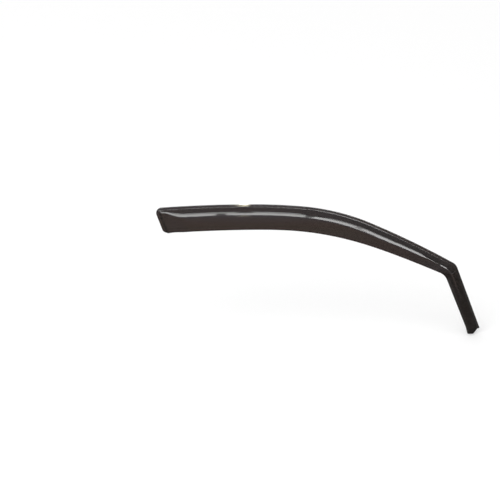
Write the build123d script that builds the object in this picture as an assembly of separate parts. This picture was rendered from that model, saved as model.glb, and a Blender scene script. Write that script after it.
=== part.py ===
from build123d import *
import math
import os

# Window rain deflector for the right front door: one formed and trimmed sheet of smoked acrylic.
# Frame in millimetres: +X towards the front of the car, +Z up, and the outer face looks along -Y.
# The origin is on the back of the fixing flange, half way across it, at the top of the roof line.
# Flat outlines are drawn in the side view, where the drawing's X is +X and its Y is +Z.

# Sheet section
WALL = 3.0               # thickness of the sheet
FLANGE = 6.5             # flat fixing flange along the roof line and the leg, edge to foot of the shelf
REAR_RIM = 7.5           # flat rim along the rear end, edge to foot of the shelf
SHELF_ANGLE = 45.0       # slope of the shelf out of the flange, in degrees
BEND_RADIUS = 3.0        # hollow bend from the flange to the shelf, on the outside
SHOULDER_RADIUS = 9.0    # rounded shoulder from the shelf to the face, on the outside
REAR_CORNER_RADIUS = 5.0  # rounding round the top of the rear end's slope, on the outside
CREST_RADIUS = 30.0      # what is left of the knee's corner radius at the top of the shelf
EDGE_RADIUS = 0.8        # rounding of the trimmed edges

# How far the face stands out of the flange
CROWN_RISE = 13.0        # over the window
LEG_RISE = 10.5          # down the leg
REAR_RISE = 4.3          # at the rear end
RUN_OUT = 62.0           # length in which it comes down to that
FALL_START = 260.0       # forward of the origin, where the rise begins to fall
FALL_STOP = 45.0         # short of the sharp knee, where it has come down to the leg's rise

# Roof line, from its top, as arcs that run on into each other
REAR_ARC = 2990.0        # radius of the line behind the top
REAR_LENGTH = 251.0      # length of that arc, to the sharp rear corner
CROWN_ARC = 1275.0       # radius of the line in front of the top
CROWN_TURN = 5.56        # degrees
CORNER_ARC = 519.0       # radius of the bend down to the windscreen pillar
CORNER_TURN = 19.2       # degrees
PILLAR_ARC = 2082.0      # radius of the line down the pillar
PILLAR_TURN = 6.68       # degrees, to the sharp knee

# Rear end
REAR_SLANT = 19.2        # lean of the rear edge from the upright, foot forward, in degrees
REAR_EDGE = 74.0         # length of the rear edge between its sharp corners
REAR_TOP_RADIUS = 14.7
REAR_FOOT_RADIUS = 13.0

# Width of the visor, square to the roof line
TAIL_WIDTH = 65.5        # where the rear run-out begins
REAR_WIDTH = 64.6        # at the middle of the rear arc
TOP_WIDTH = 63.7         # at the top of the roof line
CROWN_WIDTH = 62.6       # at the end of the crown arc
CORNER_WIDTH = 54.8      # at the end of the corner arc
PILLAR_WIDTH = 44.4      # at the middle of the pillar arc
KNEE_WIDTH = 34.8        # at the knee

# Leg in front of the window
LEG_ANGLE = 71.3         # slope of the leg's front edge below the level, in degrees
LEG_LENGTH = 184.2       # from the sharp knee to the end of the flange
LEG_TOP_WIDTH = 34.0
LEG_FOOT_WIDTH = 31.0
KNEE_OUTER_RADIUS = 26.0
KNEE_INNER_RADIUS = 33.0

# Foot of the leg, a tongue that runs on past the end of the flange
TONGUE_DROP = 11.8       # level end of the tongue below the end of the flange
TONGUE_INSET = 20.5      # front corner of the tongue, in from the leg's front edge
TONGUE_SIDE = 17.0       # length of the tongue's rear side above the end of the flange
TONGUE_FLARE = 1.8       # how much wider than the leg the tongue is by the end of the flange
TONGUE_RADIUS = 4.0      # corners of the tongue
FLANGE_END_RADIUS = 1.8  # corners of the flange's end

# Worked out from the sizes above
TAPER = 90.0 - SHELF_ANGLE
SPREAD = math.tan(math.radians(TAPER))
SKIN_SHIFT = WALL * math.tan(math.radians(SHELF_ANGLE / 2))
HIGHEST = max(CROWN_RISE, LEG_RISE, REAR_RISE)
LOWEST = min(CROWN_RISE, LEG_RISE, REAR_RISE)
KNEE_SLOPE = CROWN_TURN + CORNER_TURN + PILLAR_TURN
LEAN = math.radians(REAR_SLANT)
ROOM = WALL + HIGHEST + LEG_LENGTH / 3


def heading(degrees):
    """Unit direction in the side view, turned down from straight ahead."""
    turn = math.radians(degrees)
    return Vector(math.cos(turn), -math.sin(turn))


def inward(degrees):
    """Unit direction square to a heading, towards the window."""
    return heading(degrees + 90)


def rear_arc(length):
    """The roof line behind its top, as far back as a length along it."""
    return JernArc((0, FLANGE / 2), (-1, 0), REAR_ARC, math.degrees(length / REAR_ARC))


def front_arcs():
    """The roof line in front of its top, down to the sharp knee."""
    crown = JernArc((0, FLANGE / 2), (1, 0), CROWN_ARC, -CROWN_TURN)
    corner = JernArc(crown @ 1, crown % 1, CORNER_ARC, -CORNER_TURN)
    pillar = JernArc(corner @ 1, corner % 1, PILLAR_ARC, -PILLAR_TURN)
    return crown, corner, pillar


REAR = rear_arc(REAR_LENGTH)
CROWN, CORNER, PILLAR = front_arcs()
REAR_WAY = heading(90 - REAR_SLANT)
REAR_TOP = REAR @ 1
REAR_FOOT = REAR_TOP + REAR_WAY * REAR_EDGE
LEG_WAY = heading(LEG_ANGLE)
LEG_ACROSS = inward(LEG_ANGLE)
KNEE = PILLAR @ 1
LEG_END = KNEE + LEG_WAY * LEG_LENGTH
TONGUE_LEVEL = LEG_END.Y - TONGUE_DROP
REACH = 2 * (LEG_END.X - REAR_TOP.X)
FLOOR = TONGUE_LEVEL - ROOM
ALONG_REAR = (REAR_WAY.X, 0, REAR_WAY.Y)


def down_to(point, way, level):
    """Where a line from a point meets a level below it."""
    return point + way * ((level - point.Y) / way.Y)


def inner_knee():
    """Sharp inner corner where the visor's lower edge meets the leg."""
    turn = math.sin(math.radians(LEG_ANGLE - KNEE_SLOPE))
    back = heading(KNEE_SLOPE) * (LEG_TOP_WIDTH / turn)
    down = LEG_WAY * (KNEE_WIDTH / turn)
    return KNEE - back + down


def below_rear(length, width):
    """Point square below the roof line, at a length behind its top."""
    return rear_arc(length) @ 1 + inward(-math.degrees(length / REAR_ARC)) * width


def lower_edge():
    """The visor's lower edge, from the inner knee back to the rear foot."""
    stations = [
        inner_knee(),
        PILLAR @ 0.5 + inward(KNEE_SLOPE - PILLAR_TURN / 2) * PILLAR_WIDTH,
        CORNER @ 1 + inward(CROWN_TURN + CORNER_TURN) * CORNER_WIDTH,
        CROWN @ 1 + inward(CROWN_TURN) * CROWN_WIDTH,
        CROWN @ 0 + inward(0) * TOP_WIDTH,
        below_rear(REAR_LENGTH / 2, REAR_WIDTH),
        below_rear(REAR_LENGTH - REAR_RIM - RUN_OUT, TAIL_WIDTH),
        REAR_FOOT,
    ]
    return Spline(*stations)


def foot_corners():
    """Corners of the foot, from the end of the flange round to the leg's inner edge."""
    flange_end = LEG_END + LEG_ACROSS * FLANGE
    tongue_front = down_to(LEG_END + LEG_ACROSS * TONGUE_INSET, LEG_WAY, TONGUE_LEVEL)
    kink = LEG_END + LEG_ACROSS * LEG_FOOT_WIDTH - LEG_WAY * TONGUE_SIDE
    side_way = LEG_WAY * TONGUE_SIDE + LEG_ACROSS * TONGUE_FLARE
    tongue_rear = down_to(kink, side_way, TONGUE_LEVEL)
    return [LEG_END, flange_end, tongue_front, tongue_rear, kink]


def trim_block():
    """Block with the trimmed outline, as deep as the form, with its corners rounded."""
    leg_end, flange_end, tongue_front, tongue_rear, kink = foot_corners()
    foot = Polyline(KNEE, leg_end, flange_end, tongue_front, tongue_rear, kink, inner_knee())
    rear_edge = Line(REAR_FOOT, REAR_TOP)
    outline = make_face([REAR, CROWN, CORNER, PILLAR, foot, lower_edge(), rear_edge])
    block = extrude(Plane.XZ * outline, ROOM, both=True)
    corners = [
        (REAR_TOP, REAR_TOP_RADIUS),
        (REAR_FOOT, REAR_FOOT_RADIUS),
        (KNEE, KNEE_OUTER_RADIUS),
        (inner_knee(), KNEE_INNER_RADIUS),
        (leg_end, FLANGE_END_RADIUS),
        (flange_end, FLANGE_END_RADIUS),
        (tongue_front, TONGUE_RADIUS),
        (tongue_rear, TONGUE_RADIUS),
    ]
    for corner, radius in corners:
        place = Plane.XZ.from_local_coords(corner)
        edge = block.edges().filter_by(Axis.Y).sort_by_distance(place)[0]
        block = fillet(edge, radius)
    return block


def form_base(inset):
    """Outline of the raised form's foot, set in from the roof line and the leg and run on past the rear."""
    rear = rear_arc(REAR_LENGTH + ROOM)
    rear_top = rear @ 1
    leg_foot = down_to(KNEE, LEG_WAY, FLOOR)
    sides = Polyline(KNEE, leg_foot, (rear_top.X, FLOOR), rear_top)
    base = make_face([rear, CROWN, CORNER, PILLAR, sides])
    base = offset(base, -inset, kind=Kind.INTERSECTION)
    radius = HIGHEST * SPREAD + CREST_RADIUS + FLANGE + SKIN_SHIFT - inset
    return fillet(base.vertices().sort_by_distance(KNEE)[0], radius)


def along_level(point):
    """Where a line through a point, as slanted as the rear edge, crosses the level of the origin."""
    return point.X + point.Y * math.tan(LEAN)


def eased(start, end):
    """Curve between two rises that leaves the one and comes to the other level."""
    middle = (start[0] + end[0]) / 2
    return Bezier(start, (middle, start[1]), (middle, end[1]), end)


def shelf_foot(inset):
    """Where the foot of the rear end's slope crosses the level of the origin."""
    return along_level(REAR_TOP) + (REAR_RIM + inset - FLANGE) / math.cos(LEAN)


def slanted_block(outline, start):
    """Block with a section that is seen from the top, drawn out along the rear edge's slant."""
    seen_from_top = Plane((0, -start, 0), x_dir=(1, 0, 0), z_dir=(0, 0, -1))
    return extrude(seen_from_top * make_face(outline), REACH, dir=ALONG_REAR, both=True)


def rise_outline():
    """Rise of the face over its length, from behind the rear end to the leg, closed far below."""
    rim = shelf_foot(FLANGE)
    run_out = eased((rim, REAR_RISE), (rim + RUN_OUT, CROWN_RISE))
    fall = eased((FALL_START, CROWN_RISE), (along_level(KNEE) - FALL_STOP, LEG_RISE))
    behind = rim - RUN_OUT / 2
    ahead = LEG_END.X + ROOM
    crown = Line(run_out @ 1, fall @ 0)
    leg = Line(fall @ 1, (ahead, LEG_RISE))
    rear = Line((behind, REAR_RISE), run_out @ 0)
    under = Polyline(leg @ 1, (ahead, -REACH), (behind, -REACH), rear @ 0)
    return [rear, run_out, crown, fall, leg, under]


def rear_outline(inset):
    """Section of all that is in front of the rear end's slope."""
    foot = shelf_foot(inset)
    slope = ROOM * SPREAD / math.cos(LEAN)
    return Polyline((foot - slope, -ROOM), (foot + slope, ROOM), (REACH, ROOM), (REACH, -ROOM), close=True)


def upper_room():
    """Block of all that is above a level cut, well below the foot of the leg."""
    upright = (Align.CENTER, Align.CENTER, Align.MIN)
    return Pos(0, 0, FLOOR + ROOM / 2) * Box(2 * REACH, 2 * REACH, REACH, align=upright)


def form(inset, start, shoulder, rear_corner):
    """Raised form that starts at a depth, with sloping sides and a rounded shoulder, closed at the rear."""
    foot = Plane((0, -start, 0), x_dir=(1, 0, 0), z_dir=(0, -1, 0)) * form_base(inset)
    sides = extrude(foot, HIGHEST + CREST_RADIUS / SPREAD / 2, taper=TAPER) & upper_room()
    cap = slanted_block(rise_outline(), start)
    raised = sides & cap
    crease = standing(new_edges(sides, cap, combined=raised), start + LOWEST * 3 / 4)
    raised = fillet(crease, shoulder)
    front = slanted_block(rear_outline(inset), start)
    closed = raised & front
    rear_edges = standing(new_edges(raised, front, combined=closed), start + LOWEST / 4)
    return fillet(rear_edges, rear_corner)


def above_floor(edges):
    """The edges along the rear end, the roof line and the leg, without the form's far side."""
    return edges.filter_by(lambda edge: edge.center().Z > FLOOR + ROOM)


def standing(edges, depth):
    """Those of the edges above the floor that stand further out than a depth."""
    return above_floor(edges).filter_by(lambda edge: edge.center().Y < -depth)


def form_mouth(sheet, depth):
    """The edges where the form leaves the flat of the sheet, at a depth in front of its back."""
    flats = sheet.faces().filter_by(Axis.Y)
    flat = flats.filter_by_position(Axis.Y, -depth - WALL / 4, -depth + WALL / 4)[0]
    return above_floor(flat.inner_wires()[0].edges())


def formed_sheet():
    """Flat sheet pressed out over the form, with its bends rounded, before it is trimmed."""
    flat = extrude(Plane.XZ * Rectangle(2 * REACH, 2 * REACH), WALL)
    outer = form(FLANGE, WALL, SHOULDER_RADIUS, REAR_CORNER_RADIUS)
    inner = form(FLANGE + SKIN_SHIFT, 0, SHOULDER_RADIUS - WALL, REAR_CORNER_RADIUS - WALL)
    raised = flat + outer
    raised = fillet(form_mouth(raised, WALL), BEND_RADIUS)
    hollow = raised - inner
    return fillet(form_mouth(hollow, 0), BEND_RADIUS + WALL)


def rain_deflector():
    """The formed sheet trimmed to its outline, with its edges rounded."""
    sheet = formed_sheet()
    block = trim_block()
    trimmed = sheet & block
    return fillet(new_edges(sheet, block, combined=trimmed), EDGE_RADIUS)


os.makedirs("parts", exist_ok=True)
export_step(rain_deflector(), "parts/rain_deflector.step")
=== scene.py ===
import math

import bmesh
import bpy
import numpy as np
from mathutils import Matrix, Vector


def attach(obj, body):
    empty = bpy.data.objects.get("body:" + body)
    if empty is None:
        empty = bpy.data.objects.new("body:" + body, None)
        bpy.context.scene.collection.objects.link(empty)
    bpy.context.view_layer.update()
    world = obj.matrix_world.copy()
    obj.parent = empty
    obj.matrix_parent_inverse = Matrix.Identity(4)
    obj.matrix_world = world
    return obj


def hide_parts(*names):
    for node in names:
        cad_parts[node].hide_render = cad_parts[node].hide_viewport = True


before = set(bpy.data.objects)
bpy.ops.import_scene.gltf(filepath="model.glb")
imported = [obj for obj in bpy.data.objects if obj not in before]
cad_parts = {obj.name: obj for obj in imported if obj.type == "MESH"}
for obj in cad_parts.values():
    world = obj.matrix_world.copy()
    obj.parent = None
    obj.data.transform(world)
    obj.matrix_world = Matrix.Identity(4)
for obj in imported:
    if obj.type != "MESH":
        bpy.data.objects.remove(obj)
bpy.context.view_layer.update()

# Window rain deflector: one formed and trimmed sheet of smoked acrylic.
# Sizes are in millimetres, and MM turns them into the scene's metres.
# Outlines are worked out in the side view, as points of (x, z), and depth is measured along -Y.
MM = 0.001

# Sheet section
WALL = 3.0               # thickness of the sheet
FLANGE = 6.5             # flat fixing flange along the roof line and the leg, edge to foot of the shelf
REAR_RIM = 7.5           # flat rim along the rear end, edge to foot of the shelf
SHELF_ANGLE = 45.0       # slope of the shelf out of the flange, in degrees
BEND_RADIUS = 2.0        # hollow bend from the flange to the shelf, where the roof line turns down
END_BEND_RADIUS = 0.5    # the same bend behind the top of the roof line, and from the pillar on
BEND_WIDENS = (10.0, 190.0)    # places forward of the origin between which it grows
BEND_NARROWS = (290.0, 330.0)  # and between which it shrinks again
SHOULDER_RADIUS = 14.0   # rounded shoulder over the window, and less where the face stands out less
PINCHED_RADIUS = 1.2     # the same shoulder where it is pinched, just behind the knee
LEG_SHOULDER_RADIUS = 7.0      # the same shoulder round the knee and down the leg
PINCH_STARTS = (374.0, 409.0)  # places forward of the origin between which it narrows to the pinch
PINCH_ENDS = (417.0, 426.0)    # and between which it widens again
REAR_CORNER_RADIUS = 5.0  # rounding between the roof line's slope and the rear end's slope
CREST_RADIUS = 30.0      # what is left of the knee's corner radius at the top of the shelf
EDGE_RADIUS = 0.8        # rounding of the trimmed edges

# How far the face stands out of the flange
CROWN_RISE = 13.0        # over the window
LEG_RISE = 10.5          # down the leg
REAR_RISE = 4.3          # at the rear end
RUN_OUT = 62.0           # length in which it comes down to that
FALL_START = 260.0       # forward of the origin, where the rise begins to fall
FALL_STOP = 45.0         # short of the sharp knee, where it has come down to the leg's rise

# Roof line, from its top, as arcs that run on into each other
REAR_ARC = 2990.0        # radius of the line behind the top
REAR_LENGTH = 251.0      # length of that arc, to the sharp rear corner
CROWN_ARC = 1275.0       # radius of the line in front of the top
CROWN_TURN = 5.56        # degrees
CORNER_ARC = 519.0       # radius of the bend down to the windscreen pillar
CORNER_TURN = 19.2       # degrees
PILLAR_ARC = 2082.0      # radius of the line down the pillar
PILLAR_TURN = 6.68       # degrees, to the sharp knee

# Rear end
REAR_SLANT = 19.2        # lean of the rear edge from the upright, foot forward, in degrees
REAR_EDGE = 74.0         # length of the rear edge between its sharp corners
REAR_TOP_RADIUS = 14.7
REAR_FOOT_RADIUS = 13.0

# Width of the visor, square to the roof line
TAIL_WIDTH = 65.5        # where the rear run-out begins
REAR_WIDTH = 64.6        # at the middle of the rear arc
TOP_WIDTH = 63.7         # at the top of the roof line
CROWN_WIDTH = 62.6       # at the end of the crown arc
CORNER_WIDTH = 54.8      # at the end of the corner arc
PILLAR_WIDTH = 44.4      # at the middle of the pillar arc
KNEE_WIDTH = 34.8        # at the knee

# Leg in front of the window
LEG_ANGLE = 71.3         # slope of the leg's front edge below the level, in degrees
LEG_LENGTH = 184.2       # from the sharp knee to the end of the flange
LEG_TOP_WIDTH = 34.0
LEG_FOOT_WIDTH = 31.0
KNEE_OUTER_RADIUS = 26.0
KNEE_INNER_RADIUS = 33.0

# Foot of the leg, a tongue that runs on past the end of the flange
TONGUE_DROP = 11.8       # level end of the tongue below the end of the flange
TONGUE_INSET = 20.5      # front corner of the tongue, in from the leg's front edge
TONGUE_SIDE = 17.0       # length of the tongue's rear side above the end of the flange
TONGUE_FLARE = 1.8       # how much wider than the leg the tongue is by the end of the flange
TONGUE_RADIUS = 4.0      # corners of the tongue
FLANGE_END_RADIUS = 1.8  # corners of the flange's end

# Fineness of the mesh
OUTLINE_STEP = 0.1       # between the points of the outline
ROOF_STEP = 2.5          # between the cross lines along the roof line
CORNER_STEP = 0.7        # between the cross lines round the rear corner and the knee
LINE_STEP = 0.1          # between the samples along a cross line
LINE_START = -16.0       # first and last sample, from the roof line
LINE_END = 45.0
EASE_STEPS = 401         # samples of an eased change
SHARPEST = 0.5           # least radius of a shoulder
EDGE_TURNS = 4           # steps in each half of a rounded edge
EDGE_LINE = 0.35         # first line of the mesh inside a rounded edge
EDGE_LINE_MOST = 0.25    # most that it takes of a short cross line, as a share
FLANGE_ROWS = 4          # rows of the mesh from the edge line to the bend
BEND_ROWS = 12
SHELF_ROWS = 6
SHOULDER_ROWS = 18
FACE_ROWS = 12
SHELF_LEAST = 0.5        # least room for the shelf's rows after the bend
BAND_MARGIN = 0.3        # past the shoulder, where the rows of the face begin
REAR_FAN = 22.0          # radius from which the cross lines fan out round the rear corner
REAR_LINES = 40          # cross lines of the rear end above its foot
REAR_FIRST = 0.006       # lowest of them, as a share of the rear end
LEG_LINES = 100          # cross lines of the leg above its foot
LEG_FIRST = 0.002        # lowest of them, as a share of the leg
REAR_FREE = 110.0        # stretch from the rear corner where the face's lines aren't held square
KNEE_FREE = 3.0          # the same short of the knee, in degrees of the roof line's turn
LEG_FREE = 35.0          # the same below the knee
FOOT_FREE = 75.0         # the same above the foot
FOOT_BLEND = 14          # lines of the leg that bend towards the foot's end
WELD = 0.001             # points nearer than this become one
TINY = 1e-12             # stands for nought under a fraction

# Worked out from the sizes above
SLOPE = math.radians(SHELF_ANGLE)
SPREAD = 1 / math.tan(SLOPE)
SKIN_SHIFT = WALL * math.tan(SLOPE / 2)
HIGHEST = max(CROWN_RISE, LEG_RISE, REAR_RISE)
KNEE_FAN = HIGHEST * SPREAD + CREST_RADIUS + FLANGE + SKIN_SHIFT
LEAN = math.radians(REAR_SLANT)
REAR_TURN = -90.0 - REAR_SLANT
KNEE_SLOPE = CROWN_TURN + CORNER_TURN + PILLAR_TURN


def heading(degrees):
    """Unit direction in the side view, turned down from straight ahead."""
    turn = math.radians(degrees)
    return np.array([math.cos(turn), -math.sin(turn)])


def inward(degrees):
    """Unit direction square to a heading, towards the window."""
    return heading(degrees + 90)


def roof_arcs():
    """Centre, radius and turns of each arc of the roof line, from the rear corner to the knee."""
    top = np.array([0.0, FLANGE / 2])
    rear_turn = math.degrees(REAR_LENGTH / REAR_ARC)
    arcs = [(top + inward(0) * REAR_ARC, REAR_ARC, -rear_turn, 0.0)]
    start = top
    turn = 0.0
    for radius, sweep in ((CROWN_ARC, CROWN_TURN), (CORNER_ARC, CORNER_TURN), (PILLAR_ARC, PILLAR_TURN)):
        centre = start + inward(turn) * radius
        arcs.append((centre, radius, turn, turn + sweep))
        turn += sweep
        start = centre - inward(turn) * radius
    return arcs


def on_arc(arc, turn):
    """Point of an arc of the roof line where it has a turn."""
    return arc[0] - inward(turn) * arc[1]


ROOF = roof_arcs()
REAR_TOP = on_arc(ROOF[0], ROOF[0][2])
REAR_FOOT = REAR_TOP - heading(REAR_TURN) * REAR_EDGE
KNEE = on_arc(ROOF[3], KNEE_SLOPE)
LEG_WAY = heading(LEG_ANGLE)
LEG_ACROSS = inward(LEG_ANGLE)
LEG_END = KNEE + LEG_WAY * LEG_LENGTH
TONGUE_LEVEL = LEG_END[1] - TONGUE_DROP


# Outline of the trimmed sheet

def straight(start, end):
    """Close points along a straight side."""
    count = int(np.linalg.norm(end - start) / OUTLINE_STEP) + 2
    return np.linspace(start, end, count)


def roof_line():
    """Close points along the roof line, from the sharp rear corner to the sharp knee."""
    runs = []
    for arc in ROOF:
        count = int(arc[1] * math.radians(arc[3] - arc[2]) / OUTLINE_STEP) + 2
        runs.append(np.array([on_arc(arc, turn) for turn in np.linspace(arc[2], arc[3], count)]))
    return np.concatenate([runs[0]] + [run[1:] for run in runs[1:]])


def down_to(point, way, level):
    """Where a line from a point meets a level."""
    return point + way * ((level - point[1]) / way[1])


def inner_knee():
    """Sharp inner corner where the visor's lower edge meets the leg."""
    turn = math.sin(math.radians(LEG_ANGLE - KNEE_SLOPE))
    return KNEE - heading(KNEE_SLOPE) * (LEG_TOP_WIDTH / turn) + LEG_WAY * (KNEE_WIDTH / turn)


def square_below(arc, turn, width):
    """Point square below the roof line where it has a turn."""
    return on_arc(arc, turn) + inward(turn) * width


def lower_edge_stations():
    """Points that the visor's lower edge runs through, from the inner knee to the rear foot."""
    rear, crown, corner, pillar = ROOF
    tail_turn = -math.degrees((REAR_LENGTH - REAR_RIM - RUN_OUT) / REAR_ARC)
    return np.array([
        inner_knee(),
        square_below(pillar, KNEE_SLOPE - PILLAR_TURN / 2, PILLAR_WIDTH),
        square_below(corner, CROWN_TURN + CORNER_TURN, CORNER_WIDTH),
        square_below(crown, CROWN_TURN, CROWN_WIDTH),
        square_below(crown, 0.0, TOP_WIDTH),
        square_below(rear, rear[2] / 2, REAR_WIDTH),
        square_below(rear, tail_turn, TAIL_WIDTH),
        REAR_FOOT,
    ])


def smooth_line(stations):
    """Close points of a curve of even bend through stations, run out at its ends as a cubic."""
    spans = np.linalg.norm(np.diff(stations, axis=0), axis=1)
    places = np.concatenate([[0.0], np.cumsum(spans)])
    slopes = np.diff(stations, axis=0) / spans[:, None]
    count = len(stations)
    system = np.zeros((count, count))
    wanted = np.zeros((count, 2))
    for end, four in ((0, slice(0, 4)), (count - 1, slice(count - 4, count))):
        cubic = np.polynomial.polynomial.polyfit(places[four] - places[end], stations[four], 3)
        system[end, end] = 1
        wanted[end] = cubic[1]
    for k in range(1, count - 1):
        before = 1 / spans[k - 1]
        after = 1 / spans[k]
        system[k, k - 1:k + 2] = before, 2 * (before + after), after
        wanted[k] = 3 * (slopes[k - 1] * before + slopes[k] * after)
    pulls = np.linalg.solve(system, wanted)
    runs = []
    for k, span in enumerate(spans):
        t = np.linspace(0, 1, int(span / OUTLINE_STEP) + 2)[:, None]
        start = (1 + 2 * t) * (1 - t) ** 2 * stations[k] + t * (1 - t) ** 2 * span * pulls[k]
        end = t * t * (3 - 2 * t) * stations[k + 1] - t * t * (1 - t) * span * pulls[k + 1]
        runs.append((start + end)[bool(k):])
    return np.concatenate(runs)


def along(line):
    """Length along a line at each of its points."""
    return np.concatenate([[0.0], np.cumsum(np.linalg.norm(np.diff(line, axis=0), axis=1))])


def at_lengths(line, lengths):
    """Points of a line at lengths along it."""
    places = along(line)
    return np.column_stack([np.interp(lengths, places, line[:, k]) for k in (0, 1)])


def cut_back(line, start, end):
    """A line without a length at its start and a length at its end."""
    total = along(line)[-1]
    return at_lengths(line, np.linspace(start, total - end, len(line)))


def unit(vector):
    """A direction with a length of one."""
    return vector / np.linalg.norm(vector)


def closed_outline(sides, radii):
    """One closed line round the sides, with the corner after each side rounded."""
    setbacks = []
    corners = []
    for side, following, radius in zip(sides, sides[1:] + sides[:1], radii):
        into = unit(side[-1] - side[-2])
        out = unit(following[1] - following[0])
        cross = into[0] * out[1] - into[1] * out[0]
        turn = math.atan2(cross, into @ out)
        setback = radius * abs(math.tan(turn / 2))
        square = np.array([-into[1], into[0]]) * math.copysign(1.0, turn)
        count = max(2, int(abs(turn) * radius / OUTLINE_STEP))
        steps = np.linspace(0, abs(turn), count + 1)[1:-1, None]
        start = side[-1] - into * setback
        corners.append(start + radius * (np.sin(steps) * into + (1 - np.cos(steps)) * square))
        setbacks.append(setback)
    runs = []
    for k, side in enumerate(sides):
        runs.append(cut_back(side, setbacks[k - 1], setbacks[k]))
        if radii[k]:
            runs.append(corners[k])
    line = np.concatenate(runs)
    apart = np.linalg.norm(line - np.roll(line, 1, axis=0), axis=1)
    return line[apart > OUTLINE_STEP / 100]


def trimmed_outline():
    """Outline of the sheet, up the rear end, along the roof line and down the leg to the tongue."""
    flange_end = LEG_END + LEG_ACROSS * FLANGE
    tongue_front = down_to(LEG_END + LEG_ACROSS * TONGUE_INSET, LEG_WAY, TONGUE_LEVEL)
    kink = LEG_END + LEG_ACROSS * LEG_FOOT_WIDTH - LEG_WAY * TONGUE_SIDE
    tongue_rear = down_to(kink, LEG_WAY * TONGUE_SIDE + LEG_ACROSS * TONGUE_FLARE, TONGUE_LEVEL)
    sides = [
        straight(REAR_FOOT, REAR_TOP),
        roof_line(),
        straight(KNEE, LEG_END),
        straight(LEG_END, flange_end),
        straight(flange_end, tongue_front),
        straight(tongue_front, tongue_rear),
        straight(tongue_rear, kink),
        straight(kink, inner_knee()),
        smooth_line(lower_edge_stations()),
    ]
    radii = [
        REAR_TOP_RADIUS, KNEE_OUTER_RADIUS, FLANGE_END_RADIUS, FLANGE_END_RADIUS, TONGUE_RADIUS,
        TONGUE_RADIUS, 0.0, KNEE_INNER_RADIUS, REAR_FOOT_RADIUS,
    ]
    return closed_outline(sides, radii), tongue_rear


def inward_normals(line):
    """Unit direction into the sheet at each point of the closed outline."""
    way = np.roll(line, -1, axis=0) - np.roll(line, 1, axis=0)
    way /= np.linalg.norm(way, axis=1)[:, None]
    return np.column_stack([way[:, 1], -way[:, 0]])


OUTLINE, TONGUE_CORNER = trimmed_outline()
OUTLINE_INWARD = inward_normals(OUTLINE)
EDGE_START = OUTLINE + OUTLINE_INWARD * EDGE_RADIUS


def reach(origins, ways):
    """How far each ray goes to where it first crosses the line along which the edge rounding starts."""
    starts = EDGE_START
    runs = np.roll(EDGE_START, -1, axis=0) - EDGE_START
    distances = []
    places = []
    for origin, way in zip(origins, ways):
        gap = starts - origin
        cross = way[0] * runs[:, 1] - way[1] * runs[:, 0]
        cross = np.where(np.abs(cross) < TINY, TINY, cross)
        ahead = (gap[:, 0] * runs[:, 1] - gap[:, 1] * runs[:, 0]) / cross
        share = (gap[:, 0] * way[1] - gap[:, 1] * way[0]) / cross
        ahead[(share < 0) | (share > 1) | (ahead < 0)] = np.inf
        nearest = int(np.argmin(ahead))
        distances.append(ahead[nearest])
        places.append(nearest)
    return np.array(distances), np.array(places)


# Rise of the face and section of the sheet

def along_level(point):
    """Where a line through a point, as slanted as the rear edge, crosses the level of the origin."""
    return point[..., 0] + point[..., 1] * math.tan(LEAN)


def eased(place, start, end):
    """Share of the way between two places, level where it leaves and where it arrives."""
    t = np.linspace(0, 1, EASE_STEPS)
    advance = 1.5 * t * (1 - t) + t ** 3  # cubic curve with both its handles level, half way along
    return np.interp(place, start + (end - start) * advance, t * t * (3 - 2 * t))


def rise(points):
    """How far the face stands out of the flange at points of the side view."""
    place = along_level(points)
    rim = along_level(REAR_TOP) + REAR_RIM / math.cos(LEAN)
    run_out = eased(place, rim, rim + RUN_OUT)
    fall = eased(place, FALL_START, along_level(KNEE) - FALL_STOP)
    return REAR_RISE + (CROWN_RISE - REAR_RISE) * run_out - (CROWN_RISE - LEG_RISE) * fall


def form_inset(points, insets, rounding):
    """Inset from the roof line, or from the rear rim where that is nearer, rounded between the two."""
    centre, radius, _, _ = ROOF[0]
    roof = radius - np.linalg.norm(points - centre, axis=-1)
    rear = (points - REAR_TOP) @ inward(REAR_TURN) - (REAR_RIM - FLANGE)
    near = np.maximum(rounding - np.abs(roof - rear), 0)
    mitred = np.minimum(roof, rear) - near ** 2 / (4 * rounding)
    return np.where(points[..., 0] < -REAR_LENGTH / 2, mitred, insets)


def bend_radius(place):
    """Radius of the hollow bend on the outside, at places forward of the origin."""
    wide = eased(place, *BEND_WIDENS) - eased(place, *BEND_NARROWS)
    return END_BEND_RADIUS + (BEND_RADIUS - END_BEND_RADIUS) * wide


def shoulder_radius(place, run):
    """Radius of the shoulder on the outside, at places forward of the origin, from the shelf's run there."""
    full = SHOULDER_RADIUS * run / (SPREAD * CROWN_RISE)
    pinched = full + (PINCHED_RADIUS - full) * eased(place, *PINCH_STARTS)
    return pinched + (LEG_SHOULDER_RADIUS - PINCHED_RADIUS) * eased(place, *PINCH_ENDS)


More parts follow.
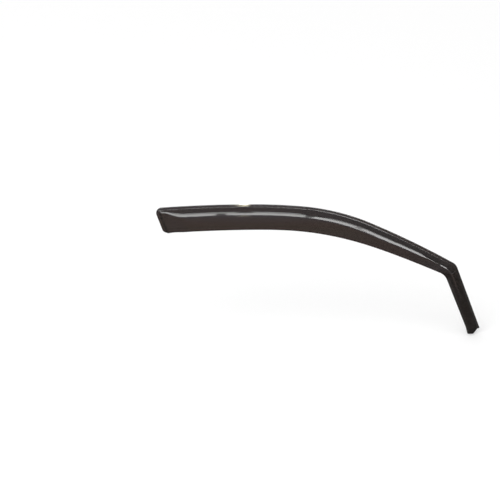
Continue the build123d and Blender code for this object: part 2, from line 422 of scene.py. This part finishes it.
class Skin:
    """One skin of the sheet: where its flange, bend, shelf and shoulder lie on each cross line."""

    def __init__(self, base, way, behind):
        place = along_level(base)
        self.foot = FLANGE + SKIN_SHIFT * behind / WALL
        self.bend = bend_radius(place) + behind
        self.rounding = REAR_CORNER_RADIUS - behind
        self.steps = np.arange(LINE_START, LINE_END, LINE_STEP)
        points = base[:, None, :] + self.steps[None, :, None] * way[:, None, :]
        self.inset = form_inset(points, self.steps[None, :], self.rounding)
        self.run, self.slope = self.crest(rise(points))
        self.shoulder = np.maximum(shoulder_radius(place, self.run) - behind, SHARPEST)
        setback = self.shoulder * np.tan((SLOPE - self.slope) / 2)
        self.first = self.run - setback * math.cos(SLOPE)
        self.last = self.run + setback * np.cos(self.slope)

    def crest(self, height):
        """Run of the shelf to where it meets the face on each cross line, and the face's slope there."""
        line = np.arange(len(height))
        spare = SPREAD * height - self.inset + self.foot
        ahead = np.argmax(SPREAD * height < self.inset - self.foot, axis=1)
        before = spare[line, ahead - 1]
        after = spare[line, ahead]
        share = before / (before - after)
        level = height[line, ahead - 1] * (1 - share) + height[line, ahead] * share
        climb = height[line, ahead + 1] - height[line, ahead - 2]
        advance = self.inset[line, ahead + 1] - self.inset[line, ahead - 2]
        return SPREAD * level, np.arctan(climb / advance)

    def place(self, insets):
        """Where each cross line comes to an inset."""
        insets = np.broadcast_to(insets, len(self.inset))
        return np.array([np.interp(inset, line, self.steps) for inset, line in zip(insets, self.inset)])

    def height(self, points, insets):
        """Height of the skin over its flat at points of the cross lines."""
        run, slope, first, last, shoulder, bend = (
            value[:, None]
            for value in (self.run, self.slope, self.first, self.last, self.shoulder, self.bend)
        )
        t = form_inset(points, insets, self.rounding) - self.foot
        setback = bend * math.tan(SLOPE / 2)
        hollow = bend - np.sqrt(np.maximum(bend ** 2 - (t + setback) ** 2, 0))
        bend_end = bend * math.sin(SLOPE) - setback
        height = np.where(t < -setback, 0.0, np.where(t < bend_end, hollow, t / SPREAD))
        centre = first + shoulder * math.sin(SLOPE)
        level = first / SPREAD - shoulder * math.cos(SLOPE)
        round_top = level + np.sqrt(np.maximum(shoulder ** 2 - (t - centre) ** 2, 0))
        face = rise(points)
        tangent = run / SPREAD + (t - run) * np.tan(slope)
        round_top = round_top + np.where(t > run, face - tangent, 0.0)
        return np.where(t < first, height, np.where(t < last, round_top, face))


# Cross lines of the mesh, square to the foot of the form

def form_corner(point, degrees, arc, side, radius):
    """Centre of a rounded corner of the form between a straight side through a point and an arc."""
    start = point + inward(degrees) * radius
    way = heading(degrees)
    gap = start - arc[0]
    half = gap @ way
    root = math.sqrt(half ** 2 - gap @ gap + (arc[1] - radius) ** 2)
    return start + way * (side * root - half)


def turn_from(arc, point):
    """Turn of an arc of the roof line square above a point."""
    gap = point - arc[0]
    return math.degrees(math.atan2(gap[0], gap[1]))


def cross_lines():
    """Start and direction of each cross line, in three runs: rear end, roof with both corners, leg."""
    rear_start = REAR_TOP + inward(REAR_TURN) * (REAR_RIM - FLANGE)
    rear_centre = form_corner(rear_start, REAR_TURN, ROOF[0], 1, REAR_FAN)
    knee_centre = form_corner(KNEE, LEG_ANGLE, ROOF[3], -1, KNEE_FAN)
    first_turn = turn_from(ROOF[0], rear_centre)
    last_turn = turn_from(ROOF[3], knee_centre)
    arcs = [(rear_centre, REAR_FAN, REAR_TURN, first_turn, CORNER_STEP)]
    for k, (centre, radius, start, end) in enumerate(ROOF):
        start = first_turn if k == 0 else start
        end = last_turn if k == 3 else end
        arcs.append((centre, radius, start, end, ROOF_STEP))
    arcs.append((knee_centre, KNEE_FAN, last_turn, LEG_ANGLE, CORNER_STEP))
    bases = []
    turns = []
    for centre, radius, start, end, step in arcs:
        count = int(radius * math.radians(end - start) / step) + 1
        for turn in np.linspace(start, end, count + 1)[:-1]:
            bases.append(centre - inward(turn) * radius)
            turns.append(turn)
    rear_end = rear_centre - inward(REAR_TURN) * REAR_FAN
    leg_start = knee_centre - inward(LEG_ANGLE) * KNEE_FAN
    return rear_end, np.array(bases), np.array(turns), leg_start


def spaced(count, first):
    """Shares from 0 to 1, with a share near the start for the line inside a rounded edge."""
    return np.concatenate([[0.0], np.linspace(first, 1.0, count)])


def repeated(point, count):
    """The same point many times over."""
    return np.tile(point, (count, 1))


def straight_run(start, way, shares):
    """Points at shares of the way from a start to the edge of the sheet."""
    distance, _ = reach([start], [way])
    return start + np.outer(shares * distance, way)


def inset_rows(edge, outer, inner):
    """Places of the rows over flange, bend, shelf and shoulder, on each cross line."""
    bend_start = inner.foot - inner.bend * math.tan(SLOPE / 2)
    bend_end = bend_start + inner.bend * math.sin(SLOPE)
    shelf_end = np.maximum(outer.foot + outer.first, bend_end + SHELF_LEAST)
    band_end = np.maximum(outer.foot + outer.last, inner.foot + inner.last) + BAND_MARGIN
    keys = [
        (edge, 1),
        (edge + EDGE_LINE, FLANGE_ROWS),
        (outer.place(bend_start), BEND_ROWS),
        (outer.place(bend_end), SHELF_ROWS),
        (outer.place(shelf_end), SHOULDER_ROWS),
        (outer.place(band_end), 0),
    ]
    rows = []
    for (start, count), (end, _) in zip(keys, keys[1:]):
        for share in np.linspace(0, 1, count + 1)[:-1]:
            rows.append(start + (end - start) * share)
    rows.append(keys[-1][0])
    return np.column_stack(rows)


def band_points():
    """Points of the rows over flange, bend, shelf and shoulder, with their depths and cross lines."""
    rear_end, bases, turns, leg_start = cross_lines()
    rear_in = inward(REAR_TURN)
    rear_shares = spaced(REAR_LINES, REAR_FIRST)
    leg_shares = 1 - spaced(LEG_LINES, LEG_FIRST)[::-1]
    rear_count = len(rear_shares)
    leg_count = len(leg_shares)
    leg_from = rear_count + len(bases)
    ways = np.array([inward(turn) for turn in turns])
    base = np.concatenate([repeated(rear_end, rear_count), bases, repeated(leg_start, leg_count)])
    way = np.concatenate([repeated(rear_in, rear_count), ways, repeated(LEG_ACROSS, leg_count)])
    outer = Skin(base, way, 0.0)
    inner = Skin(base, way, WALL)
    distance, _ = reach(base + way * FLANGE, -way)
    insets = inset_rows(FLANGE - distance, outer, inner)
    points = base[:, None, :] + insets[:, :, None] * way[:, None, :]
    for row in range(insets.shape[1]):
        rear_start = rear_end + rear_in * insets[0, row]
        points[:rear_count, row] = straight_run(rear_start, -heading(REAR_TURN), 1 - rear_shares)
        points[leg_from:, row] = straight_run(leg_start + LEG_ACROSS * insets[-1, row], LEG_WAY, leg_shares)
    depths = WALL + outer.height(points, insets), inner.height(points, insets)
    return points, depths, way, rear_count, leg_from


def inner_line(points):
    """The lower edge and the leg's inner edge, from the end of the rear shoulder to the tongue's corner."""
    start = int(np.argmin(np.linalg.norm(EDGE_START - points[0, -1], axis=1)))
    end = int(np.argmin(np.linalg.norm(EDGE_START - TONGUE_CORNER, axis=1)))
    line = np.roll(EDGE_START, -end, axis=0)
    size = (start - end) % len(EDGE_START)
    return line[:size + 1][::-1], end


def held_square(starts, ways, rear_count, leg_from):
    """Which cross lines go on over the face square to the roof line or to the leg."""
    line = np.arange(len(starts))
    turn = np.degrees(np.arctan2(-ways[:, 0], -ways[:, 1]))
    roof = (line > rear_count) & (line < leg_from)
    roof &= (starts[:, 0] > REAR_TOP[0] + REAR_FREE) & (turn < KNEE_SLOPE - KNEE_FREE)
    below_knee = np.linalg.norm(starts - starts[leg_from], axis=1)
    leg = (line >= leg_from) & (below_knee > LEG_FREE) & (below_knee < LEG_LENGTH - FOOT_FREE)
    return roof | leg


def face_ends(starts, ways, line, corner_place, square):
    """Where each cross line comes to the lower or inner edge, evenly spread between those held square."""
    lengths = along(line)
    chain = along(starts)
    _, places = reach(starts, ways)
    order = (corner_place + np.arange(len(line))[::-1]) % len(EDGE_START)
    length_at = dict(zip(order.tolist(), lengths.tolist()))
    keys = [(0.0, 0.0)]
    keys += [(chain[k], length_at[places[k]]) for k in np.flatnonzero(square) if places[k] in length_at]
    keys.append((chain[-1], lengths[-1]))
    keys = np.array(keys)
    return at_lengths(line, np.interp(chain, keys[:, 0], keys[:, 1]))


def face_points(points, ways, rear_count, leg_from):
    """Points of the rows over the face, from the end of the shoulder to the lower and inner edges."""
    line, corner_place = inner_line(points)
    starts = points[:, -1]
    square = held_square(starts, ways, rear_count, leg_from)
    ends = face_ends(starts, ways, line, corner_place, square)
    size = np.linalg.norm(ends - starts, axis=1)
    edge_share = 1 - np.minimum(EDGE_LINE / np.maximum(size, TINY), EDGE_LINE_MOST)
    shares = [edge_share * k / FACE_ROWS for k in range(1, FACE_ROWS + 1)] + [np.ones_like(size)]
    face = np.stack([starts + (ends - starts) * share[:, None] for share in shares], axis=1)
    foot = foot_end(starts[-1], corner_place, np.array([share[-1] for share in shares]))
    shift = foot - face[-1]
    for k in range(FOOT_BLEND):
        face[-1 - k] += shift * (1 - k / FOOT_BLEND) ** 2
    face[:, -1] = ends
    return face


def foot_end(start, corner_place, shares):
    """Points along the foot's end, from the end of the leg's shoulder to the tongue's rear corner."""
    first = int(np.argmin(np.linalg.norm(EDGE_START - start, axis=1)))
    line = np.roll(EDGE_START, -first, axis=0)[:(corner_place - first) % len(EDGE_START) + 1]
    line[0] = start
    return at_lengths(line, along(line)[-1] * shares)


# Mesh of the sheet

HAZE_NAME = "forming_haze"  # how much of the duller polish each point of the mesh has
HAZE_ROWS = (0.0, 0.0, 0.25, 0.6, 1.0, 1.0, 1.0, 0.4)  # row by row, from the flange's edge into the bend
HAZE_PLACES = (-230.0, -200.0, -75.0, -55.0, -5.0, 40.0, 150.0, 340.0, 440.0)  # forward of the origin
HAZE_SHARES = (0.0, 0.6, 0.6, 0.0, 0.0, 0.7, 1.0, 1.0, 0.3)  # how much of that there is at those places


def boundary(rows, columns):
    """Places of the grid's points round its four sides, in order."""
    top = [(k, 0) for k in range(columns)]
    foot = [(columns - 1, k) for k in range(1, rows)]
    lower = [(k, rows - 1) for k in range(columns - 2, -1, -1)]
    rear = [(0, k) for k in range(rows - 2, 0, -1)]
    return top + foot + lower + rear


def sheet_skins():
    """Side-view points of the sheet's grid and the depth of its outer and inner skin there."""
    band, (outer, inner), ways, rear_count, leg_from = band_points()
    face = face_points(band, ways, rear_count, leg_from)
    face_rise = rise(face)
    points = np.concatenate([band, face], axis=1)
    outer = np.concatenate([outer, WALL + face_rise], axis=1)
    inner = np.concatenate([inner, face_rise], axis=1)
    return points, outer, inner


def add_points(sheet, flat, depth):
    """New points of the mesh at points of the side view and their depths."""
    return [sheet.verts.new((x * MM, -y * MM, z * MM)) for (x, z), y in zip(flat, depth)]


def add_skin(sheet, points, depth):
    """One skin of the mesh, as a grid of points with faces between them."""
    columns, rows = depth.shape
    grid = np.array(add_points(sheet, points.reshape(-1, 2), depth.ravel()), dtype=object)
    grid = grid.reshape(columns, rows)
    for i in range(columns - 1):
        for j in range(rows - 1):
            sheet.faces.new((grid[i, j], grid[i + 1, j], grid[i + 1, j + 1], grid[i, j + 1]))
    return grid


def add_rounded_edge(sheet, points, depths, grids):
    """Rounded edge of the mesh all the way round, from the outer skin to the inner one."""
    columns, rows = depths[0].shape
    places = boundary(rows, columns)
    ring = np.array([points[place] for place in places])
    outer, inner = [np.array([depth[place] for place in places]) for depth in depths]
    nearest = [int(np.argmin(((EDGE_START - point) ** 2).sum(axis=1))) for point in ring]
    out = -OUTLINE_INWARD[nearest]
    turns = [math.pi / 2 * k / EDGE_TURNS for k in range(1, EDGE_TURNS + 1)]
    loops = [[grids[0][place] for place in places]]
    for turn in turns:
        drop = EDGE_RADIUS * (1 - math.cos(turn))
        loops.append(add_points(sheet, ring + out * (EDGE_RADIUS * math.sin(turn)), outer - drop))
    for turn in turns[::-1]:
        drop = EDGE_RADIUS * (1 - math.cos(turn))
        loops.append(add_points(sheet, ring + out * (EDGE_RADIUS * math.sin(turn)), inner + drop))
    loops.append([grids[1][place] for place in places])
    for loop, following in zip(loops, loops[1:]):
        for k in range(len(loop)):
            sheet.faces.new((loop[k - 1], loop[k], following[k], following[k - 1]))


def dull_the_bend(grid, haze):
    """Writes to each point of the outer skin how much of the duller polish it has."""
    for row, amount in enumerate(HAZE_ROWS):
        for vertex in grid[:, row]:
            vertex[haze] = amount * np.interp(vertex.co.x / MM, HAZE_PLACES, HAZE_SHARES)


def sheet_mesh():
    """Closed mesh of the sheet: outer skin, inner skin and a rounded edge all the way round."""
    points, outer, inner = sheet_skins()
    sheet = bmesh.new()
    haze = sheet.verts.layers.float.new(HAZE_NAME)
    outer_grid = add_skin(sheet, points, outer)
    inner_grid = add_skin(sheet, points, inner)
    dull_the_bend(outer_grid, haze)
    add_rounded_edge(sheet, points, (outer, inner), (outer_grid, inner_grid))
    bmesh.ops.remove_doubles(sheet, verts=sheet.verts, dist=WELD * MM)
    bmesh.ops.recalc_face_normals(sheet, faces=sheet.faces)
    mesh = bpy.data.meshes.new("rain_deflector_sheet")
    sheet.to_mesh(mesh)
    sheet.free()
    mesh.polygons.foreach_set("use_smooth", [True] * len(mesh.polygons))
    return mesh


# Materials

def node(tree, kind, **settings):
    """New shader node of a kind, with its settings."""
    made = tree.nodes.new(kind)
    for name, value in settings.items():
        setattr(made, name, value)
    return made


def ramp(tree, value, stops):
    """Colour against a value, which changes evenly from each stop to the next."""
    made = node(tree, "ShaderNodeValToRGB")
    low = stops[0][0]
    high = stops[-1][0]
    points = made.color_ramp.elements
    while len(points) < len(stops):
        points.new(1.0)
    for point, (place, colour) in zip(points, stops):
        point.position = (place - low) / (high - low)
        point.color = (*colour, 1)
    spread = node(tree, "ShaderNodeMapRange")
    spread.inputs["From Min"].default_value = low
    spread.inputs["From Max"].default_value = high
    tree.links.new(value, spread.inputs["Value"])
    tree.links.new(spread.outputs["Result"], made.inputs["Fac"])
    return made.outputs["Color"]


def noise(tree, stretch, scale, detail):
    """Cloudy values over the piece, drawn out by a stretch along each axis."""
    place = node(tree, "ShaderNodeTexCoord")
    drawn = node(tree, "ShaderNodeMapping")
    drawn.inputs["Scale"].default_value = stretch
    tree.links.new(place.outputs["Object"], drawn.inputs["Vector"])
    made = node(tree, "ShaderNodeTexNoise")
    made.inputs["Scale"].default_value = scale
    made.inputs["Detail"].default_value = detail
    tree.links.new(drawn.outputs["Vector"], made.inputs["Vector"])
    return made.outputs["Fac"]


TINT_DEEP = (0.0165, 0.0128, 0.0113)
TINT_CLEAR = (0.0185, 0.0148, 0.0133)
TINT_CLOUDS = ((1, 1, 1), 18, 4)       # stretch, scale and detail of the uneven tint
TINT_RANGE = (0.35, 0.65)              # values of it that are deep and clear
POLISHED = 0.035
SMUDGED = 0.075
WIPING_MARKS = ((0.06, 1, 1), 400, 3)  # stretch, scale and detail of the wiping marks
WIPING_RANGE = (0.5, 0.8)              # values of them that are polished and smudged
HAZE_ROUGHNESS = 0.25                  # what the duller polish along the bend adds
WAVES = ((0.5, 1, 1), 30, 2)           # stretch, scale and detail of the faint waves
WAVE_HEIGHT = 0.00002
ACRYLIC_IOR = 1.49


def uneven_tint(tree):
    """Dark brown that is a little clearer in some places than in others."""
    deep, clear = TINT_RANGE
    return ramp(tree, noise(tree, *TINT_CLOUDS), [(deep, TINT_DEEP), (clear, TINT_CLEAR)])


def worn_polish(tree):
    """Roughness of the polish, with smudges and wiping marks, and duller along the bend."""
    polished, smudged = WIPING_RANGE
    polish = node(tree, "ShaderNodeMapRange")
    polish.inputs["From Min"].default_value = polished
    polish.inputs["From Max"].default_value = smudged
    polish.inputs["To Min"].default_value = POLISHED
    polish.inputs["To Max"].default_value = SMUDGED
    tree.links.new(noise(tree, *WIPING_MARKS), polish.inputs["Value"])
    haze = node(tree, "ShaderNodeAttribute", attribute_name=HAZE_NAME)
    dulled = node(tree, "ShaderNodeMath", operation="MULTIPLY_ADD")
    dulled.inputs[1].default_value = HAZE_ROUGHNESS
    tree.links.new(haze.outputs["Fac"], dulled.inputs[0])
    tree.links.new(polish.outputs["Result"], dulled.inputs[2])
    return dulled.outputs["Value"]


def faint_waves(tree):
    """Normal of a sheet that isn't quite even."""
    waves = node(tree, "ShaderNodeBump")
    waves.inputs["Distance"].default_value = WAVE_HEIGHT
    tree.links.new(noise(tree, *WAVES), waves.inputs["Height"])
    return waves.outputs["Normal"]


def smoked_acrylic():
    """Dark brown see-through acrylic, with an uneven tint, a worn polish and faint waves."""
    material = bpy.data.materials.new("smoked acrylic")
    material.use_nodes = True
    tree = material.node_tree
    shader = tree.nodes["Principled BSDF"]
    tree.links.new(uneven_tint(tree), shader.inputs["Base Color"])
    tree.links.new(worn_polish(tree), shader.inputs["Roughness"])
    tree.links.new(faint_waves(tree), shader.inputs["Normal"])
    shader.inputs["IOR"].default_value = ACRYLIC_IOR
    shader.inputs["Transmission Weight"].default_value = 1.0
    return material


# Stage, in metres

VIEW_ELEVATION = 25.0    # of the camera, in degrees
FLOOR_LEVEL = -0.3515
FLOOR_SIZE = 40.0
WORLD_STRENGTH = 0.9
LAMP_POWER = 60.0
LAMP_SIZE = 3.0
LAMP_PLACE = Vector((-1.5, -2.5, 4.0))


def plain_floor():
    """Wide white floor just under the foot of the leg."""
    bpy.ops.mesh.primitive_plane_add(size=FLOOR_SIZE, location=(0, 0, FLOOR_LEVEL))
    floor = bpy.context.object
    floor.name = "floor"
    material = bpy.data.materials.new("white floor")
    material.use_nodes = True
    shader = material.node_tree.nodes["Principled BSDF"]
    shader.inputs["Base Color"].default_value = (1, 1, 1, 1)
    shader.inputs["Roughness"].default_value = 1.0
    shader.inputs["Specular IOR Level"].default_value = 0.0
    floor.data.materials.append(material)


def white_world():
    """White all round, and full white where the camera sees it past the floor."""
    world = bpy.data.worlds.new("white studio")
    bpy.context.scene.world = world
    world.use_nodes = True
    background = world.node_tree.nodes["Background"]
    background.inputs["Color"].default_value = (1, 1, 1, 1)
    ray = node(world.node_tree, "ShaderNodeLightPath")
    strength = node(world.node_tree, "ShaderNodeMapRange")
    strength.inputs["To Min"].default_value = WORLD_STRENGTH
    strength.inputs["To Max"].default_value = 1.0
    world.node_tree.links.new(ray.outputs["Is Camera Ray"], strength.inputs["Value"])
    world.node_tree.links.new(strength.outputs["Result"], background.inputs["Strength"])


def soft_lamp():
    """Large soft lamp, high on the left in front, which makes up the light that the world leaves out."""
    data = bpy.data.lights.new("soft_lamp", "AREA")
    data.size = LAMP_SIZE
    data.energy = LAMP_POWER
    lamp = bpy.data.objects.new("soft_lamp", data)
    lamp.location = LAMP_PLACE
    lamp.rotation_mode = "QUATERNION"
    lamp.rotation_quaternion = (-LAMP_PLACE).to_track_quat("-Z", "Y")
    lamp.visible_glossy = False
    bpy.context.scene.collection.objects.link(lamp)


# Surroundings that only reflections see

def glow(name):
    """Material that only gives light, with its shader."""
    material = bpy.data.materials.new(name)
    material.use_nodes = True
    tree = material.node_tree
    tree.nodes.clear()
    light = node(tree, "ShaderNodeEmission")
    out = node(tree, "ShaderNodeOutputMaterial")
    tree.links.new(light.outputs[0], out.inputs["Surface"])
    return material, light


def only_in_reflections(piece, material):
    """Gives a piece of the stage its material, and hides it from all but reflections."""
    piece.data.materials.append(material)
    piece.visible_camera = False
    piece.visible_diffuse = False
    piece.visible_transmission = False
    piece.visible_volume_scatter = False
    piece.visible_shadow = False


def card(name, corners, strength=1.0):
    """Flat card that gives an even white light, with the shader of that light."""
    mesh = bpy.data.meshes.new(name)
    mesh.from_pydata(corners, [], [range(len(corners))])
    piece = bpy.data.objects.new(name, mesh)
    bpy.context.scene.collection.objects.link(piece)
    material, light = glow(name)
    light.inputs["Color"].default_value = (1, 1, 1, 1)
    light.inputs["Strength"].default_value = strength
    only_in_reflections(piece, material)
    return light


def axis_of(tree, axis):
    """One coordinate of a place, from the middle of its piece."""
    place = node(tree, "ShaderNodeTexCoord")
    split = node(tree, "ShaderNodeSeparateXYZ")
    tree.links.new(place.outputs["Object"], split.inputs["Vector"])
    return split.outputs[axis]


ROOM_RADIUS = 6.0
ROOM_SEGMENTS = 96
ROOM_RINGS = 48
# Place along X and the colour there
ROOM_COLOURS = [
    (-6.0, (0.63, 0.55, 0.54)),
    (2.5, (0.57, 0.54, 0.57)),
    (3.6, (0.44, 0.44, 0.46)),
    (6.0, (0.17, 0.17, 0.17)),
]


def dim_room():
    """Dim room all round, darker towards the front of the car."""
    bpy.ops.mesh.primitive_uv_sphere_add(
        segments=ROOM_SEGMENTS, ring_count=ROOM_RINGS, radius=ROOM_RADIUS
    )
    room = bpy.context.object
    room.name = "dim_room"
    material, light = glow("dim room")
    tree = material.node_tree
    tree.links.new(ramp(tree, axis_of(tree, "X"), ROOM_COLOURS), light.inputs["Color"])
    only_in_reflections(room, material)


PANE_DISTANCE = 2.0
# Sides of the two bars between the lower panes, from foot to top, as points of (x, z)
SLIM_BAR_LEFT = ((0.196, -0.12), (0.42, 1.5))
SLIM_BAR_RIGHT = ((0.205, -0.24), (0.55, 1.39))
BENT_BAR_LEFT = ((0.6, -0.24), (0.65, 0.0), (0.83, 0.6), (1.42, 1.66))
BENT_BAR_RIGHT = ((0.68, -0.24), (0.735, 0.0), (0.93, 0.6), (1.56, 1.66))
# Strength, left side and right side of each pane or bar
LOWER_PANES = [
    (9.0, ((-1.7, -0.24), (-1.7, 1.4)), ((-0.114, -0.24), (-0.172, 1.4))),
    (9.3, ((-0.085, -0.12), (-0.13, 1.4)), SLIM_BAR_LEFT),
    (1.5, SLIM_BAR_LEFT, SLIM_BAR_RIGHT),
    (10.0, SLIM_BAR_RIGHT, BENT_BAR_LEFT),
    (5.0, BENT_BAR_LEFT, BENT_BAR_RIGHT),
    (10.5, BENT_BAR_RIGHT, ((1.2, -0.24), (1.55, 0.5), (2.1, 1.45))),
]
UPPER_PANES = [
    (5.5, ((-1.7, 1.45), (-1.7, 3.7)), ((-0.09, 1.45), (-0.106, 3.7))),
    (5.5, ((0.0, 1.45), (-0.02, 3.7)), ((0.43, 1.55), (0.61, 3.7))),
    (4.0, ((0.75, 1.7), (1.3, 3.0)), ((2.3, 1.6), (2.6, 3.0))),
    (1.7, ((2.35, 1.7), (2.65, 3.0)), ((3.1, 2.2), (3.3, 3.1))),
]


def window_panes():
    """Two rows of bright window panes in a wall in front, with dimmer bars between the lower ones."""
    for number, (strength, left, right) in enumerate(LOWER_PANES + UPPER_PANES):
        corners = [left[0], *right, *left[:0:-1]]
        card(f"window_pane_{number}", [(x, -PANE_DISTANCE, z) for x, z in corners], strength)


# Glowing cards on the floor, seen only in reflections, whose colours paint the reflection in the face and
# leg, with painted shade near the deflector
REFLECTION_CARD_LIFT = 0.001
REFLECTION_CARD_LEFT = -3.0
REFLECTION_CARD_JOIN = -0.1
REFLECTION_CARD_RIGHT = 4.0
# Place along Y and the colour there, from far in front to behind the deflector: painted reflection for the
# face and leg, dark near the deflector as painted shade
FAR_REFLECTION_COLOURS = [
    (-4.0, (0.87, 0.85, 0.92)),
    (-0.74, (0.87, 0.84, 0.92)),
    (-0.67, (0.7, 0.5, 0.41)),
    (-0.62, (0.68, 0.55, 0.47)),
]
REAR_REFLECTION_COLOURS = FAR_REFLECTION_COLOURS + [
    (-0.55, (0.65, 0.51, 0.46)),
    (-0.3, (0.62, 0.5, 0.46)),
    (-0.2, (0.1, 0.1, 0.1)),
    (1.0, (0.03, 0.03, 0.03)),
]
FRONT_REFLECTION_COLOURS = FAR_REFLECTION_COLOURS + [
    (-0.55, (0.58, 0.43, 0.39)),
    (-0.48, (0.55, 0.43, 0.4)),
    (-0.44, (0.5, 0.43, 0.44)),
    (-0.4, (0.58, 0.52, 0.55)),
    (-0.375, (0.15, 0.13, 0.14)),
    (-0.34, (0.1, 0.1, 0.1)),
    (-0.1, (0.1, 0.1, 0.1)),
    (-0.05, (0.13, 0.14, 0.14)),
    (0.0, (0.05, 0.05, 0.05)),
    (1.0, (0.03, 0.03, 0.03)),
]


def painted_reflection_card(name, left, right, colours):
    """Glowing card on the floor that only reflections see, whose colours paint the reflection in the face
    and leg: pale in front, and dark towards the deflector as painted shade.
    """
    near = colours[-1][0]
    far = colours[0][0]
    level = FLOOR_LEVEL + REFLECTION_CARD_LIFT
    light = card(name, [(left, far, level), (right, far, level), (right, near, level), (left, near, level)])
    tree = light.id_data
    tree.links.new(ramp(tree, axis_of(tree, "Y"), colours), light.inputs["Color"])


def painted_reflection_cards():
    """Two glowing cards of painted reflection side by side: under the rear half, and under the front half
    with the leg.
    """
    painted_reflection_card("rear_painted_reflection", REFLECTION_CARD_LEFT, REFLECTION_CARD_JOIN, REAR_REFLECTION_COLOURS)
    painted_reflection_card("front_painted_reflection", REFLECTION_CARD_JOIN, REFLECTION_CARD_RIGHT, FRONT_REFLECTION_COLOURS)


STRIP_LEVEL = FLOOR_LEVEL + 2 * REFLECTION_CARD_LIFT
STRIP_START = 25.0       # below the sharp knee, in millimetres
# Painted highlights along the leg. Name, strength, and in millimetres: depth of the face that mirrors it,
# and sides in from the leg's front
LEG_HIGHLIGHT_STRIPS = [
    ("flange_highlight_strip", 0.5, WALL, -2.0, FLANGE),
    ("inner_highlight_strip", 0.42, WALL + LEG_RISE, LEG_TOP_WIDTH - 8.0, LEG_TOP_WIDTH + 3.0),
]


def mirrored_on_floor(point, depth):
    """Where the camera's line of sight to a point of a flat face meets the floor, mirrored in that face."""
    x, z = point * MM
    away = (z - STRIP_LEVEL) / math.tan(math.radians(VIEW_ELEVATION))
    return x, -depth * MM - away, STRIP_LEVEL


def painted_leg_highlights():
    """Slim glowing strips on the floor that only reflections see, placed by the camera's line of sight:
    painted highlights along both edges of the leg.
    """
    top = KNEE + LEG_WAY * STRIP_START
    for name, strength, depth, first, last in LEG_HIGHLIGHT_STRIPS:
        ends = [(top, first), (top, last), (LEG_END, last), (LEG_END, first)]
        card(name, [mirrored_on_floor(end + LEG_ACROSS * inset, depth) for end, inset in ends], strength)


GLARE_COLOUR = (1.0, 0.95, 0.76)
# Place along X and the share of the glare there
GLARE_SHARES = [
    (-0.058, 0.0), (-0.047, 0.15), (-0.038, 0.38), (-0.033, 0.9), (-0.027, 1.0), (-0.021, 0.95),
    (-0.017, 0.5), (-0.012, 0.15), (-0.008, 0.0),
]
# Name, strength, what spreads those places, and the (y, z) of two opposite sides
GLARES = [
    ("flange_glare", 33.0, 1.0, (-0.785, STRIP_LEVEL), (-0.7525, STRIP_LEVEL)),
    ("edge_glare", 50.0, 1.62, (2.0, 0.7), (2.0, 2.2)),
]


def glare():
    """Small bright patches, on the floor in front and behind, for the glare at the top of the roof line."""
    for name, strength, spread, first, last in GLARES:
        stops = [(place * spread, [share * part for part in GLARE_COLOUR]) for place, share in GLARE_SHARES]
        left = stops[0][0]
        right = stops[-1][0]
        light = card(name, [(left, *first), (right, *first), (right, *last), (left, *last)], strength)
        tree = light.id_data
        tree.links.new(ramp(tree, axis_of(tree, "X"), stops), light.inputs["Color"])


VIEW_CENTRE = Vector((-10.66, -8.0, -119.5)) * MM
VIEW_WIDTH = 1250.0 * MM
VIEW_DISTANCE = 3.0


def camera():
    """Camera square on to the length and from above, with the whole deflector in its frame."""
    data = bpy.data.cameras.new("camera")
    data.type = "ORTHO"
    data.ortho_scale = VIEW_WIDTH
    viewer = bpy.data.objects.new("camera", data)
    tilt = math.radians(VIEW_ELEVATION)
    back = Vector((0, -math.cos(tilt), math.sin(tilt)))
    viewer.location = VIEW_CENTRE + back * VIEW_DISTANCE
    viewer.rotation_mode = "QUATERNION"
    viewer.rotation_quaternion = (-back).to_track_quat("-Z", "Y")
    bpy.context.scene.collection.objects.link(viewer)
    bpy.context.scene.camera = viewer


def rain_deflector():
    """The sheet in place of its plain solid."""
    sheet = bpy.data.objects.new("rain_deflector_sheet", sheet_mesh())
    bpy.context.scene.collection.objects.link(sheet)
    sheet.data.materials.append(smoked_acrylic())
    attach(sheet, "root")
    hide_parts("rain_deflector")


bpy.context.scene.view_settings.view_transform = "Standard"
rain_deflector()
plain_floor()
white_world()
soft_lamp()
dim_room()
window_panes()
painted_reflection_cards()
painted_leg_highlights()
glare()
camera()
